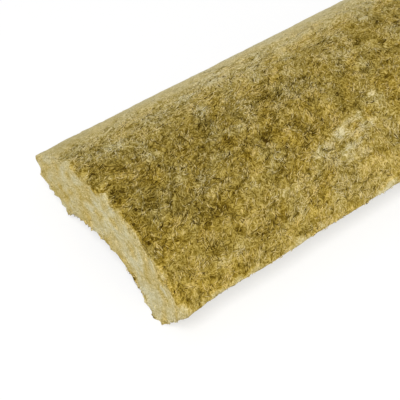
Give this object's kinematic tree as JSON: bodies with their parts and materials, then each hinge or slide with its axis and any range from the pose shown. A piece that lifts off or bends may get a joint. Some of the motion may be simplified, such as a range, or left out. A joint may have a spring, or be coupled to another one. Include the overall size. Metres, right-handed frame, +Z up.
{
  "type": "mineral wool pipe section",
  "caption": "Quarter segment of a mineral wool pipe section: a thick curved shell of bound fibre that wraps a pipe to insulate it.",
  "frame": {"origin": "on the floor, under the middle of the segment", "axes": "+X along the pipe, +Y across the segment, +Z up through its crown"},
  "size_m": [1, 0.1878, 0.0738],
  "materials": {
    "mineral_wool": "matt felted mineral fibre, straw to olive, paler on the sawn ends and joint faces"
  },
  "bodies": {
    "root": {"wool_segment": "mineral_wool"}
  },
  "joints": []
}
